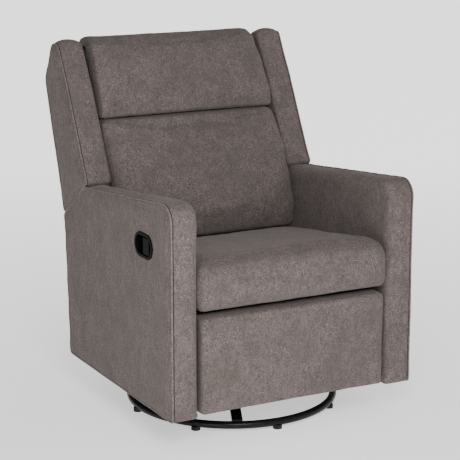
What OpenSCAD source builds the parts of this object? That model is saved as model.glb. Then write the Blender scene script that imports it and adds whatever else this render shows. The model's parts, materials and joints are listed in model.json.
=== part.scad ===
// Upholstered glider recliner for a nursery: a wing-back armchair with a
// pull-out footrest, hung on swing links over a turning ring base.
// Millimetres, +Z up, the chair faces -Y, right and left are the occupant's.
// The origin is on the floor, under the middle of the chair's outline.

/* [Arms] */
// Width over the two arms
overall_w = 740; // [700:5:780]
// Thickness of one padded arm
arm_t = 80; // [75:1:84]
// Front face of the arms, measured forward of the origin
arm_front = 414; // [404:1:420]
// Height of the arm's underside above the floor
arm_bottom = 96; // [94:1:98]
// Height of the arm top's front corner, before it is rounded
arm_front_h = 681; // [660:1:700]
// Radius of the arm's front top corner
arm_corner_r = 50; // [30:1:60]

/* [Seat and back] */
// Height of the seat cushion's front top edge
seat_h = 521; // [505:1:535]
// Front of the seat cushion, measured forward of the origin
seat_front = 431; // [424:1:436]

/* [Footrest] */
// Height of the footrest pad
pad_h = 271; // [240:1:275]
// Thickness of the footrest pad with its board
pad_t = 55; // [45:1:58]

/* [Glide and swivel base] */
// Radius of the floor ring, to the middle of its tube
ring_r = 295; // [280:1:300]
// Diameter of the floor ring's tube
ring_tube_d = 22; // [20:1:25]
// Number of plastic feet under the ring
foot_count = 8; // [6:1:12]
// Distance between the two pivots of a swing link
swing_len = 110; // [100:1:112]
// Swing of the links each way, where the rubber bumpers stop them, degrees
swing_max = 20; // [10:1:20]
// Number of balls in the turntable bearing
ball_count = 20; // [12:1:24]

/* [Hidden] */
$fn = 64;

FABRIC = [0.50, 0.47, 0.44];
FABRIC_SHADE = [0.42, 0.39, 0.37];
BLACK_STEEL = [0.10, 0.10, 0.11];
ZINC = [0.62, 0.63, 0.65];
BLACK_PLASTIC = [0.07, 0.07, 0.08];
NYLON = [0.88, 0.87, 0.82];
RUBBER = [0.16, 0.16, 0.16];
WOOD = [0.78, 0.64, 0.45];
WEBBING = [0.25, 0.24, 0.23];

CUT = 1;             // how far a cutter runs past the face that it opens
RUN = 0.05;          // radial clearance of a pin in its hole
ARC_STEPS = 6;       // straight steps in a rounded corner

// ---- turntable and glider ----
swivel_y = -46;                      // the turntable's axis, behind the footrest
foot_h = 8;
foot_r = 13;
foot_stem_r = 4;
ring_z = foot_h + ring_tube_d / 2;
ring_wall = 2;
base_arm_w = 30;
base_arm_z = [22, 34];
base_arm_turn = -115;                // one arm points a little to the right of straight ahead
plate_t = 4;
base_plate_r = 80;
base_plate_z = base_arm_z[1];
race_r = 58;
race_half_w = 10;
cage_half_w = 7;
ball_r = 4;
ball_z = base_plate_z + plate_t + 6;
lower_race_z = [base_plate_z + plate_t, ball_z - 2];
upper_race_z = [ball_z + 2, ball_z + 6];
kingpin_r = 8;
top_plate_z = upper_race_z[1];
top_plate_half = [200, 130];
rail_y = 90;
rail_size = [20, 12];
upright_x = 196;
upright_top = 230;
swing_y = 100;                       // fore and aft distance of the swing pivots from the axis
swing_top_z = 215;
swing_low_z = swing_top_z - swing_len;
swing_t = 4;
swing_r = 12;
swing_x = 203;
swing_pin_r = 5;
stop_r = 5;
stop_drop = 60;                      // how far down the link its bumper touches it
web_x = 213;
web_t = 3;
web_y = [-266, 204];
web_z = [88, 130];
sill_x = 330;
tube_y = 200;
tube_s = 25;
tube_z = 100;
bolt_x = 310;
bolt_y = [-240, 178];
bolt_r = 4;
bolt_len = 40;

// ---- arms ----
arm_out = overall_w / 2;
arm_in = arm_out - arm_t;
cover_t = 8;                         // foam and fabric over the arm's wooden frame
board_w = 45;
ARM_CORNERS = [
    [-arm_front, arm_bottom], [281, arm_bottom], [303, 519], [145, 625.6],
    [-arm_front, arm_front_h]
];
ARM_RADII = [6, 10, 4, 4, arm_corner_r];
handle_y = -249;
handle_z = 541;
handle_half = 21;                    // half the straight part of the oval cup
cup_r = 27;
rim_r = 33;
cup_depth = 32;
rim_stand = 3;
lever_pin_y = handle_y - 28;
lever_pin_x = -arm_out + 8;
lever_pin_r = 2;
cable_r = 3;
CABLE_ROUTE = [
    [-350, -264, 513], [-350, -264, 490], [-345, -255, 440], [-338, -225, 370],
    [-332, -180, 300], [-324, -150, 262], [-306, -146, 252], [-280, -146, 250],
    [-256, -147, 250], [-240, -160, 253], [-236, -190, 263], [-236, -225, 277]
];
CABLE_STEPS = 4;

// ---- seat ----
side_plate_x = 258;
side_plate_t = 3;
channel_y = [-126, 194];
channel_z = [222, 265];
block_y = [-46, 124];
frame_half_w = 275;
frame_y = [-351, 144];
frame_z = [345, 385];
frame_board = 25;
cushion_z = 387;
cushion_half_w = 289;
crease_y = 104;
crease_z = 452;

// ---- back ----
RECLINE = [209, 300];                // the back's pivot
recline_pin_r = 6;
wing_lean = 0.062;                   // the wings' inner faces close in by this much as they rise
wing_low_x = 300;
wing_low_z = 519;
back_half_w = 288;
WING_CORNERS = [
    [147.5, 626], [303.8, 520.2], [431, 907], [378, 1010], [332, 1012], [262, 893], [133, 637]
];
WING_RADII = [3, 6, 40, 24, 20, 0, 6];
LUMBAR = [
    [62, 457.5], [110, 450.5], [125, 444], [157, 442], [168, 480], [253, 760], [270, 796],
    [214, 799], [150, 716], [89, 620], [59, 530]
];
HEADREST = [
    [209, 803], [272, 801], [357, 985], [358, 994], [414, 994], [417, 1006],
    [392, 1021], [352, 1023], [319, 1006], [273, 945], [226, 862]
];
BACK_BOARD = [
    [159, 365], [229, 365], [284, 519], [409, 900], [384, 984], [360, 984], [255, 760], [170, 480]
];
BACK_SKIN = [
    [232.1, 310], [244.6, 310], [303, 519], [431, 907], [421, 992], [409, 992],
    [419, 907], [291, 519]
];

// Lower and upper front edge of each rail between the two boards
BACK_RAILS = [[[160, 375], [163.8, 415]], [[236.8, 700], [248.9, 740]], [[334.7, 930], [353.4, 970]]];

// ---- footrest linkage ----
// Angles are measured upward from straight ahead, in the plane seen from the left side.
drive_y = -292;
drive_z = 325;
link_a = 190;                        // drive link and guide link, pivot to pivot
link_b = 190.9;                      // support arm and tilt link, pivot to pivot
guide_gap = 30;                      // guide pivot to drive pivot
tilt_gap = 24;                       // tilt pivot to support pivot
drive_angle = -112;
arm_angle = 48.6;
link_w = 18;
link_t = 3;
GUIDE_X = 262;
SUPPORT_X = 266;
DRIVE_X = 270;
TILT_X = 274;
link_pin_r = 4;
drive_stub_r = 6;
drive_tube_r = 8;
cam_r = 18;
cam_x = -240;
cam_t = 6;
PAWL = [-240, 290];                  // the latch pawl's pivot
pad_half_w = 284;
pad_bottom = 103;
board_t = 15;
pad_back = pad_t - arm_front;

function ahead(from, angle, len) = [from[0] - len * cos(angle), from[1] + len * sin(angle)];
DRIVE = [drive_y, drive_z];
GUIDE = ahead(DRIVE, arm_angle, -guide_gap);
KNEE = ahead(DRIVE, drive_angle, link_a);
GUIDE_KNEE = ahead(GUIDE, drive_angle, link_a);
HINGE = ahead(KNEE, arm_angle, link_b);
TILT_KNEE = ahead(KNEE, drive_angle, tilt_gap);
TILT_HINGE = ahead(HINGE, drive_angle, tilt_gap);

// ---- shared shapes ----

function unit(v) = v / norm(v);

// Moves each edge of an anticlockwise outline inward by d.
function inset(pts, d) = [
    for (i = [0 : len(pts) - 1])
        let (n = len(pts), e1 = unit(pts[i] - pts[(i + n - 1) % n]), e2 = unit(pts[(i + 1) % n] - pts[i]),
            n1 = [-e1[1], e1[0]], n2 = [-e2[1], e2[0]])
        pts[i] + (n1 + n2) * d / (1 + n1 * n2)
];

// Replaces each corner of an outline by an arc of its own radius.
function rounded(pts, radii) = [
    for (i = [0 : len(pts) - 1])
        let (n = len(pts), p = pts[i], r = radii[i], ua = unit(pts[(i + n - 1) % n] - p),
            ub = unit(pts[(i + 1) % n] - p), half = acos(ua * ub) / 2,
            c = p + unit(ua + ub) * r / sin(half), s = p + ua * r / tan(half) - c,
            e = p + ub * r / tan(half) - c, a0 = atan2(s[1], s[0]), a1 = atan2(e[1], e[0]),
            turn = (a1 - a0 + 540) % 360 - 180)
        for (k = [0 : r > 0 ? ARC_STEPS : 0])
            r > 0 ? c + r * [cos(a0 + turn * k / ARC_STEPS), sin(a0 + turn * k / ARC_STEPS)] : p
];

// A side-view outline, points in (y, z), extruded from x0 to x1.
module slab(x0, x1, pts) {
    translate([x0, 0, 0]) rotate([90, 0, 90]) linear_extrude(x1 - x0) polygon(pts);
}

module both_sides() {
    children();
    mirror([1, 0, 0]) children();
}

module at_swivel() {
    translate([0, swivel_y, 0]) children();
}

// A round bar along X at a point given as (y, z).
module bar_x(x0, x1, r, p) {
    translate([x0, p[0], p[1]]) rotate([0, 90, 0]) cylinder(h = x1 - x0, r = r);
}

module box(lo, hi) {
    translate(lo) cube(hi - lo);
}

// The outline of a flat link with round ends between two points.
function link_outline(p, q, w) = let (lean = atan2(q[1] - p[1], q[0] - p[0])) [
    for (end = [[q, lean - 90], [p, lean + 90]])
        for (k = [0 : 2 * ARC_STEPS])
            end[0] + w / 2 * [cos(end[1] + 90 * k / ARC_STEPS), sin(end[1] + 90 * k / ARC_STEPS)]
];

module link_bar(x0, t, w, p, q) {
    slab(x0, x0 + t, link_outline(p, q, w));
}

// ---- base ----

module ring_solid(r) {
    at_swivel() translate([0, 0, ring_z]) rotate_extrude($fn = 128) translate([ring_r, 0]) circle(r);
}

module at_feet() {
    for (i = [0 : foot_count - 1])
        at_swivel() rotate([0, 0, -2.6 + i * 360 / foot_count]) translate([ring_r, 0, 0]) children();
}

module base_ring() color(BLACK_STEEL) difference() {
    ring_solid(ring_tube_d / 2);
    ring_solid(ring_tube_d / 2 - ring_wall);
    at_feet() cylinder(h = ring_z, r = foot_stem_r);
}

module foot_glides() color(BLACK_PLASTIC) {
    difference() {
        at_feet() cylinder(h = foot_h + 3, r = foot_r);
        ring_solid(ring_tube_d / 2);
    }
    at_feet() cylinder(h = ring_z, r = foot_stem_r);
}

module base_arms() color(BLACK_STEEL) difference() {
    for (i = [0 : 3])
        at_swivel() rotate([0, 0, base_arm_turn + 90 * i])
            box([40, -base_arm_w / 2, base_arm_z[0]], [ring_r, base_arm_w / 2, base_arm_z[1]]);
    ring_solid(ring_tube_d / 2);
}

module base_plate() color(BLACK_STEEL) at_swivel() difference() {
    translate([0, 0, base_plate_z]) cylinder(h = plate_t, r = base_plate_r);
    cylinder(h = 100, r = kingpin_r);
}

module race(z) difference() {
    translate([0, 0, z[0]]) cylinder(h = z[1] - z[0], r = race_r + race_half_w);
    translate([0, 0, z[0] - CUT]) cylinder(h = z[1] - z[0] + 2 * CUT, r = race_r - race_half_w);
    translate([0, 0, ball_z]) rotate_extrude() translate([race_r, 0]) circle(ball_r + RUN);
}

module lower_race() color(ZINC) at_swivel() race(lower_race_z);

module at_balls() {
    for (i = [0 : ball_count - 1])
        rotate([0, 0, i * 360 / ball_count]) translate([race_r, 0, ball_z]) children();
}

module bearing_balls() color(ZINC) at_swivel() at_balls() sphere(ball_r);

module ball_cage() color(NYLON) at_swivel() difference() {
    translate([0, 0, ball_z - 1]) cylinder(h = 2, r = race_r + cage_half_w);
    translate([0, 0, ball_z - 2]) cylinder(h = 4, r = race_r - cage_half_w);
    at_balls() translate([0, 0, -2]) cylinder(h = 4, r = ball_r + 0.15);
}

module kingpin() color(ZINC) at_swivel() {
    translate([0, 0, base_plate_z - 10]) cylinder(h = 10, r = 13.9, $fn = 6);
    translate([0, 0, base_plate_z - 1]) cylinder(h = 36, r = kingpin_r);
}

module kingpin_nut() color(ZINC) at_swivel() difference() {
    union() {
        translate([0, 0, top_plate_z + plate_t + 0.4]) cylinder(h = 2.6, r = 16);
        translate([0, 0, top_plate_z + plate_t + 3]) cylinder(h = 10, r = 13.9, $fn = 6);
    }
    cylinder(h = 100, r = kingpin_r);
}

// ---- turning frame ----

module upper_race() color(ZINC) at_swivel() race(upper_race_z);

module top_plate() color(BLACK_STEEL) at_swivel() difference() {
    box([-top_plate_half[0], -top_plate_half[1], top_plate_z],
        [top_plate_half[0], top_plate_half[1], top_plate_z + plate_t]);
    cylinder(h = 100, r = kingpin_r + RUN);
    for (x = [-130, 130]) translate([x, 0, 0]) cylinder(h = 100, r = 40);
}

module cross_rails() color(BLACK_STEEL) at_swivel()
    for (y = [-rail_y, rail_y])
        box([-upright_x, y - rail_size[0] / 2, top_plate_z + plate_t],
            [upright_x, y + rail_size[0] / 2, top_plate_z + plate_t + rail_size[1]]);

module swing_uprights() color(BLACK_STEEL) at_swivel() both_sides()
    difference() {
        slab(upright_x, upright_x + plate_t, rounded(
            [[-top_plate_half[1], top_plate_z + plate_t], [top_plate_half[1], top_plate_z + plate_t],
             [swing_y + 15, upright_top], [-swing_y - 15, upright_top]], [0, 0, 12, 12]));
        slab(upright_x - CUT, upright_x + plate_t + CUT, rounded(
            [[-48, 95], [48, 95], [36, 180], [-36, 180]], [15, 15, 15, 15]));
    }

module swing_pin(y, z, x0, x1, head_x) {
    bar_x(x0, x1, swing_pin_r, [y, z]);
    bar_x(head_x, head_x + 2, 9, [y, z]);
}

// The pins that the swing links hang from, each with its spacer.
module upper_pivot_pins() color(ZINC) at_swivel() both_sides()
    for (y = [-swing_y, swing_y]) {
        swing_pin(y, swing_top_z, upright_x + plate_t, swing_x + swing_t + 1, swing_x + swing_t + 0.4);
        bar_x(upright_x + plate_t, swing_x - 0.4, 9, [y, swing_top_z]);
    }

// Rubber bumpers that end the glide, one for each link.
module glide_stops() color(RUBBER) at_swivel() both_sides() {
    reach = swing_r + stop_r + 0.3;
    y = swing_y - stop_drop * sin(swing_max) - reach * cos(swing_max);
    z = swing_top_z - stop_drop * cos(swing_max) + reach * sin(swing_max);
    for (s = [-1, 1]) bar_x(upright_x + plate_t, swing_x + swing_t, stop_r, [s * y, z]);
}

module swing_links(y) at_swivel() both_sides() difference() {
    link_bar(swing_x, swing_t, 2 * swing_r, [y, swing_low_z], [y, swing_top_z]);
    for (z = [swing_low_z, swing_top_z])
        bar_x(swing_x - CUT, swing_x + swing_t + CUT, swing_pin_r + RUN, [y, z]);
}

module front_swing_links() color(BLACK_STEEL) swing_links(-swing_y);
module rear_swing_links() color(BLACK_STEEL) swing_links(swing_y);

// ---- chair body ----

module rail_webs() color(BLACK_STEEL) both_sides()
    box([web_x, web_y[0], web_z[0]], [web_x + web_t, web_y[1], web_z[1]]);

module arm_sills() color(BLACK_STEEL) both_sides() difference() {
    box([web_x + web_t, web_y[0], arm_bottom - plate_t], [sill_x, web_y[1], arm_bottom]);
    at_sill_bolts() cylinder(h = 100, r = bolt_r);
}

module cross_tubes() color(BLACK_STEEL) at_swivel()
    for (y = [-tube_y, tube_y]) difference() {
        box([-web_x, y - tube_s / 2, tube_z], [web_x, y + tube_s / 2, tube_z + tube_s]);
        box([-web_x - CUT, y - tube_s / 2 + 2, tube_z + 2],
            [web_x + CUT, y + tube_s / 2 - 2, tube_z + tube_s - 2]);
    }

// The pins at the links' lower ends; the rear pair closes the glider's four-bar loop.
module lower_pivot_pins() color(ZINC) at_swivel() both_sides()
    for (y = [-swing_y, swing_y]) {
        swing_pin(y, swing_low_z, swing_x - 1, web_x, swing_x - 2.4);
        bar_x(swing_x + swing_t + 0.4, web_x, 9, [y, swing_low_z]);
    }

module arm_slab(x0, x1, d) {
    slab(x0, x1, rounded(inset(ARM_CORNERS, d), [for (r = ARM_RADII) max(r - d, 1)]));
}

module at_sill_bolts() {
    for (y = bolt_y) translate([bolt_x, y, arm_bottom - plate_t - 5]) children();
}

// Wooden frame: front post, rear post, top and bottom rails and a middle post.
module arm_frame() difference() {
    intersection() {
        arm_slab(arm_in + cover_t, arm_out - cover_t, cover_t);
        box([0, -600, arm_bottom], [600, 600, 900]);
    }
    difference() {
        arm_slab(0, 600, cover_t + board_w);
        box([0, -90, 0], [600, -90 + board_w, 900]);
    }
    at_sill_bolts() cylinder(h = bolt_len, r = bolt_r);
}

module right_arm_frame() color(WOOD) mirror([1, 0, 0]) arm_frame();
module left_arm_frame() color(WOOD) arm_frame();

// Padded cover over the frame, open underneath.
module arm_cover() difference() {
    arm_slab(arm_in, arm_out, 0);
    arm_slab(arm_in + cover_t, arm_out - cover_t, cover_t);
    box([arm_in + cover_t, -arm_front + 20, arm_bottom - CUT], [arm_out - cover_t, 255, arm_bottom + 20]);
}

module right_arm_cover() color(FABRIC) difference() {
    mirror([1, 0, 0]) arm_cover();
    oval(-arm_out - CUT, -arm_out + cover_t + CUT, cup_r + 1);
    bar_x(-arm_in - cover_t - CUT, -arm_in + CUT, cable_r + 1, [-146, 250.6]);
}

module left_arm_cover() color(FABRIC) arm_cover();

// Closes the chair behind, low down between the arms.
module rear_skirt() color(FABRIC_SHADE)
    box([-arm_in, 259, arm_bottom], [arm_in, 271, 290]);

module seat_channels() color(ZINC) both_sides() difference() {
    box([276, channel_y[0], channel_z[0]], [arm_in, channel_y[1], channel_z[1]]);
    box([275, channel_y[0] - CUT, channel_z[0] + 3], [arm_in - 3, channel_y[1] + CUT, channel_z[1] - 3]);
}

module sill_bolts() color(ZINC) both_sides() at_sill_bolts() {
    cylinder(h = 5, r = 7, $fn = 6);
    cylinder(h = bolt_len, r = bolt_r);
}

// ---- release handle ----

// An oval prism along X at the handle.
module oval(x0, x1, r) {
    for (s = [-1, 1]) bar_x(x0, x1, r, [handle_y + s * handle_half, handle_z]);
    box([x0, handle_y - handle_half, handle_z - r], [x1, handle_y + handle_half, handle_z + r]);
}

module handle_cup() color(BLACK_PLASTIC) difference() {
    union() {
        oval(-arm_out, -arm_out + cup_depth, cup_r + 1);
        oval(-arm_out - rim_stand, -arm_out, rim_r);
    }
    oval(-arm_out - rim_stand - CUT, -arm_out + cup_depth - 2, cup_r - 1);
    lever_pin();
}

// A paddle over the front half of the cup, pulled outward by its rear edge.
module release_lever() color(BLACK_PLASTIC) difference() {
    union() {
        intersection() {
            box([-arm_out - 2, lever_pin_y - 6, handle_z - 22], [-arm_out + 4, handle_y + 2, handle_z + 22]);
            oval(-arm_out - 10, 0, cup_r - 3.5);
        }
        translate([lever_pin_x, lever_pin_y, handle_z - 14]) cylinder(h = 28, r = 5);
    }
    translate([lever_pin_x, lever_pin_y, handle_z - 30]) cylinder(h = 60, r = lever_pin_r + RUN);
}

module lever_pin() color(ZINC)
    translate([lever_pin_x, lever_pin_y, handle_z - cup_r + 1])
        cylinder(h = 2 * cup_r - 2, r = lever_pin_r);

// Catmull-Rom curve through the cable's points.
function blend4(p, i, t) = 0.5 * (2 * p[i] + (p[i + 1] - p[i - 1]) * t
    + (2 * p[i - 1] - 5 * p[i] + 4 * p[i + 1] - p[i + 2]) * t * t
    + (3 * p[i] - p[i - 1] - 3 * p[i + 1] + p[i + 2]) * t * t * t);
function curve(p, n) = let (e = len(p) - 1, q = concat([2 * p[0] - p[1]], p, [2 * p[e] - p[e - 1]]))
    concat([for (i = [1 : e]) for (k = [0 : n - 1]) blend4(q, i, k / n)], [p[e]]);

// A tube of 8 sides along a line of points.
module sweep(pts, r) {
    n = len(pts);
    sides = 8;
    rings = [for (i = [0 : n - 1])
        let (t = unit(pts[min(i + 1, n - 1)] - pts[max(i - 1, 0)]), a = unit(cross(t, [1, 0.2, 0.1])),
            b = cross(t, a))
        for (k = [0 : sides - 1]) pts[i] + r * (a * cos(k * 45) + b * sin(k * 45))];
    walls = [for (i = [0 : n - 2]) for (k = [0 : sides - 1])
        [i * sides + k, i * sides + (k + 1) % sides, (i + 1) * sides + (k + 1) % sides, (i + 1) * sides + k]];
    first = [for (k = [sides - 1 : -1 : 0]) k];
    last = [for (k = [0 : sides - 1]) (n - 1) * sides + k];
    polyhedron(rings, concat([first], walls, [last]));
}

module release_cable() color(BLACK_PLASTIC) sweep(curve(CABLE_ROUTE, CABLE_STEPS), cable_r);

// ---- seat ----

module seat_side_plates() color(BLACK_STEEL) both_sides() difference() {
    slab(side_plate_x, side_plate_x + side_plate_t, rounded(
        [[-346, 285], [-300, 215], [200, 215], [223, 250], [223, 316], [160, 325], [140, frame_z[0]],
         [-346, frame_z[0]]], [8, 12, 12, 8, 8, 8, 4, 8]));
    bar_x(0, 600, drive_stub_r + RUN, DRIVE);
    bar_x(0, 600, recline_pin_r + RUN, RECLINE);
    for (y = [-146, -128]) bar_x(0, 600, 2 * cable_r, [y, 250]);
    box([0, -146, 250 - 2 * cable_r], [600, -128, 250 + 2 * cable_r]);
}

module slide_blocks() color(NYLON) both_sides()
    for (y = block_y)
        box([side_plate_x + side_plate_t, y - 30, channel_z[0] + 3.5],
            [arm_in - 3.5, y + 30, channel_z[1] - 3.5]);

module seat_frame() color(WOOD) difference() {
    box([-frame_half_w, frame_y[0], frame_z[0]], [frame_half_w, frame_y[1], frame_z[1]]);
    box([-frame_half_w + frame_board, frame_y[0] + frame_board, 0],
        [frame_half_w - frame_board, frame_y[1] - frame_board, 900]);
}

// Woven straps: one layer from front to back and one across, on top of the frame.
module seat_webbing() color(WEBBING) {
    for (x = [-180 : 90 : 180])
        box([x - 25, frame_y[0], frame_z[1]], [x + 25, frame_y[1], frame_z[1] + 0.9]);
    for (y = [-280 : 90 : 80])
        box([-frame_half_w, y - 25, frame_z[1] + 0.9], [frame_half_w, y + 25, frame_z[1] + 1.8]);
}

module seat_cushion() color(FABRIC)
    slab(-cushion_half_w, cushion_half_w, rounded(
        [[-seat_front, cushion_z], [crease_y - 2, cushion_z], [crease_y, crease_z - 4],
         [-seat_front, seat_h]], [22, 6, 12, 34]));

// Studs on the side plates that the guide links and the latch pawl turn on.
module guide_studs() color(ZINC) {
    both_sides() {
        bar_x(side_plate_x + side_plate_t, GUIDE_X + link_t + 0.4, link_pin_r, GUIDE);
        bar_x(GUIDE_X + link_t + 0.4, GUIDE_X + link_t + 2, 7, GUIDE);
    }
    bar_x(-side_plate_x, cam_x + 0.4, link_pin_r, PAWL);
}

// The catch that holds the footrest shut, just clear of the cam on the drive tube.
module latch_pawl() color(ZINC) difference() {
    union() {
        bar_x(cam_x - cam_t, cam_x, 9, PAWL);
        slab(cam_x - cam_t, cam_x, [
            [-247, 284], [-239, 299], [-254, 313], [-272, 318], [-270, 309], [-257, 303]
        ]);
    }
    bar_x(-300, 0, link_pin_r + RUN, PAWL);
}

// ---- back ----

// What lies between the two wings, in front view.
module between_wings(gap) intersection() {
    children();
    rotate([90, 0, 0]) linear_extrude(1600, center = true) wing_gap_outline(gap);
}

function wing_x(z) = wing_low_x - wing_lean * (z - wing_low_z);
module wing_gap_outline(gap) {
    meet_z = wing_low_z + (wing_low_x - back_half_w) / wing_lean;
    polygon([
        [-back_half_w + gap, 200], [back_half_w - gap, 200], [back_half_w - gap, meet_z],
        [wing_x(1100) - gap, 1100], [-wing_x(1100) + gap, 1100], [-back_half_w + gap, meet_z]
    ]);
}

module back_brackets() color(BLACK_STEEL) both_sides() {
    slab(GUIDE_X, GUIDE_X + 3, rounded(
        [[190, 286], [222, 286], [244, 365], [268, 480], [200, 480], [172, 365]], [14, 14, 0, 6, 6, 0]));
    bar_x(side_plate_x - 2, GUIDE_X, recline_pin_r, RECLINE);
    bar_x(side_plate_x - 3, side_plate_x - 0.5, recline_pin_r + 4, RECLINE);
}

module back_frame() color(WOOD) {
    both_sides() slab(242, GUIDE_X, BACK_BOARD);
    for (rail = BACK_RAILS)
        slab(-242, 242, [rail[0], rail[0] + [18, 0], rail[1] + [18, 0], rail[1]]);
}

module back_webbing() color(WEBBING)
    for (x = [-150 : 100 : 150])
        slab(x - 25, x + 25, [
            [158.7, 380], [160.4, 380], [170, 480], [248.3, 738], [246.6, 738], [168.3, 480]
        ]);

module lumbar_cushion() color(FABRIC)
    between_wings(0.5) slab(-320, 320, rounded(LUMBAR, [7, 0, 0, 6, 0, 0, 10, 16, 0, 0, 0]));

module headrest_cushion() color(FABRIC)
    between_wings(0.5) slab(-320, 320, rounded(HEADREST, [12, 6, 0, 0, 3, 4, 8, 12, 12, 0, 0]));

module wing_solid() difference() {
    slab(250, arm_out, rounded(WING_CORNERS, WING_RADII));
    rotate([90, 0, 0]) linear_extrude(1600, center = true) wing_gap_outline(0);
}

module wing_board() slab(325, 340, inset(WING_CORNERS, 18));

module padded_wing() difference() {
    wing_solid();
    wing_board();
}

module right_wing() color(FABRIC) mirror([1, 0, 0]) padded_wing();
module left_wing() color(FABRIC) padded_wing();
module wing_boards() color(WOOD) both_sides() wing_board();

// The upholstered outside of the back, with a tongue that reaches down behind the seat.
module back_panel() color(FABRIC_SHADE) {
    between_wings(0.5) slab(-320, 320, BACK_SKIN);
    slab(-250, 250, [[216, 252], [228, 252], [239, 290], [250.2, 330], [237.7, 330], [227, 292]]);
}

// ---- footrest ----

module drive_tube() color(BLACK_STEEL) {
    bar_x(-side_plate_x + 1, side_plate_x - 1, drive_tube_r, DRIVE);
    both_sides() bar_x(side_plate_x - 1, DRIVE_X + link_t, drive_stub_r, DRIVE);
    bar_x(cam_x - cam_t, cam_x, cam_r, DRIVE);
}

module drive_links() color(ZINC) both_sides() {
    difference() {
        link_bar(DRIVE_X, link_t, link_w, DRIVE, TILT_KNEE);
        bar_x(0, 600, drive_stub_r, DRIVE);
    }
    bar_x(SUPPORT_X, DRIVE_X, link_pin_r, KNEE);
    bar_x(DRIVE_X + link_t, TILT_X + link_t + 0.4, link_pin_r, TILT_KNEE);
    bar_x(TILT_X + link_t + 0.4, TILT_X + link_t + 2, 6.5, TILT_KNEE);
}

module guide_links() color(ZINC) both_sides() difference() {
    link_bar(GUIDE_X, link_t, link_w, GUIDE, GUIDE_KNEE);
    bar_x(0, 600, link_pin_r + RUN, GUIDE);
    bar_x(0, 600, link_pin_r + RUN, GUIDE_KNEE);
}

module support_arms() color(ZINC) both_sides() {
    difference() {
        link_bar(SUPPORT_X, link_t, link_w, GUIDE_KNEE, HINGE);
        bar_x(0, 600, link_pin_r + RUN, KNEE);
    }
    bar_x(GUIDE_X, SUPPORT_X, link_pin_r, GUIDE_KNEE);
    bar_x(SUPPORT_X + link_t, DRIVE_X + link_t, link_pin_r, HINGE);
}

module tilt_links() color(ZINC) both_sides() difference() {
    link_bar(TILT_X, link_t, link_w, TILT_KNEE, TILT_HINGE);
    bar_x(0, 600, link_pin_r + RUN, TILT_KNEE);
    bar_x(0, 600, link_pin_r + RUN, TILT_HINGE);
}

module footrest_brackets() color(ZINC) both_sides() {
    difference() {
        union() {
            bar_x(DRIVE_X, DRIVE_X + link_t, link_w / 2, HINGE);
            bar_x(DRIVE_X, DRIVE_X + link_t, link_w / 2, TILT_HINGE);
            slab(DRIVE_X, DRIVE_X + link_t, [
                [pad_back, 238], [TILT_HINGE[0] + 3, TILT_HINGE[1] - 8.4],
                [TILT_HINGE[0] + 7, TILT_HINGE[1] + 2], [HINGE[0] + 8, HINGE[1] + 3],
                [HINGE[0] + 1, HINGE[1] + 8.9], [pad_back, 316]
            ]);
        }
        bar_x(0, 600, link_pin_r + RUN, HINGE);
    }
    bar_x(DRIVE_X + link_t, TILT_X + link_t + 0.4, link_pin_r, TILT_HINGE);
    bar_x(TILT_X + link_t + 0.4, TILT_X + link_t + 2, 6.5, TILT_HINGE);
    box([250, pad_back, 230], [DRIVE_X + link_t, pad_back + 2, 326]);
}

module footrest_board() color(WOOD)
    box([-272, pad_back - board_t, pad_bottom + 10], [272, pad_back, pad_bottom + pad_h - 10]);

module footrest_pad() color(FABRIC) difference() {
    translate([0, pad_back, 0]) rotate([90, 0, 0]) linear_extrude(pad_t) polygon(rounded(
        [[-pad_half_w, pad_bottom], [pad_half_w, pad_bottom], [pad_half_w, pad_bottom + pad_h],
         [-pad_half_w, pad_bottom + pad_h]], [8, 8, 28, 28]));
    footrest_board();
}

base_ring();
base_arms();
base_plate();
foot_glides();
lower_race();
bearing_balls();
ball_cage();
kingpin();
kingpin_nut();
upper_race();
top_plate();
cross_rails();
swing_uprights();
upper_pivot_pins();
glide_stops();
front_swing_links();
rear_swing_links();
rail_webs();
arm_sills();
cross_tubes();
lower_pivot_pins();
right_arm_frame();
left_arm_frame();
right_arm_cover();
left_arm_cover();
rear_skirt();
seat_channels();
sill_bolts();
handle_cup();
release_cable();
release_lever();
lever_pin();
seat_side_plates();
slide_blocks();
seat_frame();
seat_webbing();
seat_cushion();
guide_studs();
latch_pawl();
back_brackets();
back_frame();
back_webbing();
lumbar_cushion();
headrest_cushion();
right_wing();
left_wing();
wing_boards();
back_panel();
drive_tube();
drive_links();
guide_links();
support_arms();
tilt_links();
footrest_brackets();
footrest_board();
footrest_pad();
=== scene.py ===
"""The looks of an upholstered glider recliner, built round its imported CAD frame.

Metres, +Z up, the chair faces -Y."""

import json
import math

import bmesh
import bpy
import numpy as np
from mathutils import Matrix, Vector, noise
from mathutils.bvhtree import BVHTree


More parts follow.
